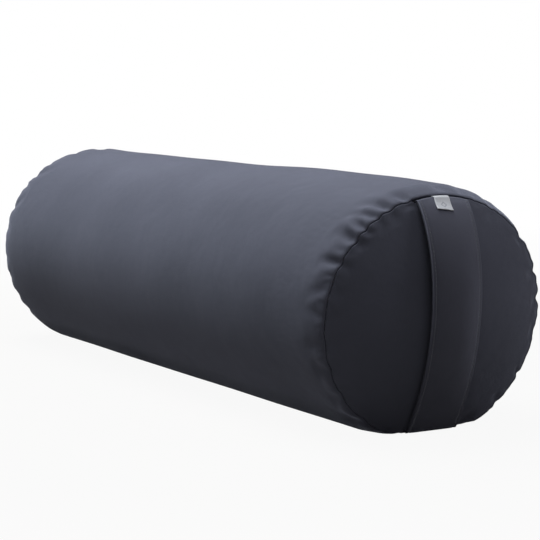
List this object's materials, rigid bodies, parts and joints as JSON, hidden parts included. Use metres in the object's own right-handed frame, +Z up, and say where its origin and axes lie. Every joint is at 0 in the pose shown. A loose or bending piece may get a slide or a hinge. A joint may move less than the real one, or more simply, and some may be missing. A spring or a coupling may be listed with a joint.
{
  "type": "yoga bolster",
  "caption": "Round stuffed yoga bolster: gathered cotton cover with a carrying strap on one end, a back zip and an inner pillow.",
  "frame": {"origin": "on the ground under the middle of the roll, on the flat that the roll rests on", "axes": "+X along the roll towards the end with the carrying strap, +Z up, zip on the +Y side"},
  "size_m": [0.7134, 0.2273, 0.2037],
  "materials": {
    "cover_cloth": "plain woven cotton, soft satin sheen",
    "strap_cloth": "folded and topstitched woven cotton",
    "label_cloth": "woven satin label",
    "zip_tape_cloth": "woven zip tape",
    "zip_plastic": "moulded teeth, satin",
    "zip_metal": "black enamel",
    "liner_cloth": "unbleached calico",
    "filling_fibre": "packed fibre"
  },
  "bodies": {
    "cover": {"cover_body": "cover_cloth", "cover_end_handle": "cover_cloth", "cover_end_plain": "cover_cloth", "liner_tube": "liner_cloth", "liner_end_near": "liner_cloth", "liner_end_far": "liner_cloth", "filling": "filling_fibre", "zip_bottom_stop": "zip_metal"},
    "zip_upper_half": {"zip_tape_upper": "zip_tape_cloth", "zip_teeth_upper": "zip_plastic", "zip_top_stop_upper": "zip_metal"},
    "zip_lower_half": {"zip_tape_lower": "zip_tape_cloth", "zip_teeth_lower": "zip_plastic", "zip_top_stop_lower": "zip_metal"},
    "slider": {"zip_slider": "zip_metal"},
    "pull_tab": {"zip_pull": "zip_metal"},
    "handle": {"handle_strap": "strap_cloth"},
    "label": {"label_tag": "label_cloth"}
  },
  "joints": [
    {"name": "zip_slide", "type": "slide", "parent": "cover", "child": "slider", "axis": [-1, 0, 0], "range_m": [0, 0.408], "deforming": ["zip_teeth_upper", "zip_teeth_lower"]},
    {"name": "zip_part_upper", "type": "hinge", "parent": "cover", "child": "zip_upper_half", "pos_m": [0, 0.00842, 0.09567], "axis": [1, 0, 0], "range_deg": [0, 1.06]},
    {"name": "zip_part_lower", "type": "hinge", "parent": "cover", "child": "zip_lower_half", "pos_m": [0, 0.00842, 0.09567], "axis": [-1, 0, 0], "range_deg": [0, 1.06]},
    {"name": "zip_pull_swing", "type": "hinge", "parent": "slider", "child": "pull_tab", "pos_m": [0.2043, 0.11214, 0.1186], "axis": [0, 0.2158, -0.9764], "range_deg": [0, 165]},
    {"name": "handle_lift", "type": "slide", "parent": "cover", "child": "handle", "axis": [1, 0, 0], "range_m": [0, 0.012], "deforming": ["handle_strap"]},
    {"name": "label_flip", "type": "hinge", "parent": "cover", "child": "label", "pos_m": [0.33375, 0, 0.19436], "axis": [0, -1, 0], "range_deg": [0, 150], "deforming": ["label_tag"]}
  ],
  "couplings": [
    {"joint": "zip_part_upper", "follows": "zip_slide", "rad_per_m": 0.0447},
    {"joint": "zip_part_lower", "follows": "zip_slide", "rad_per_m": 0.0447}
  ]
}
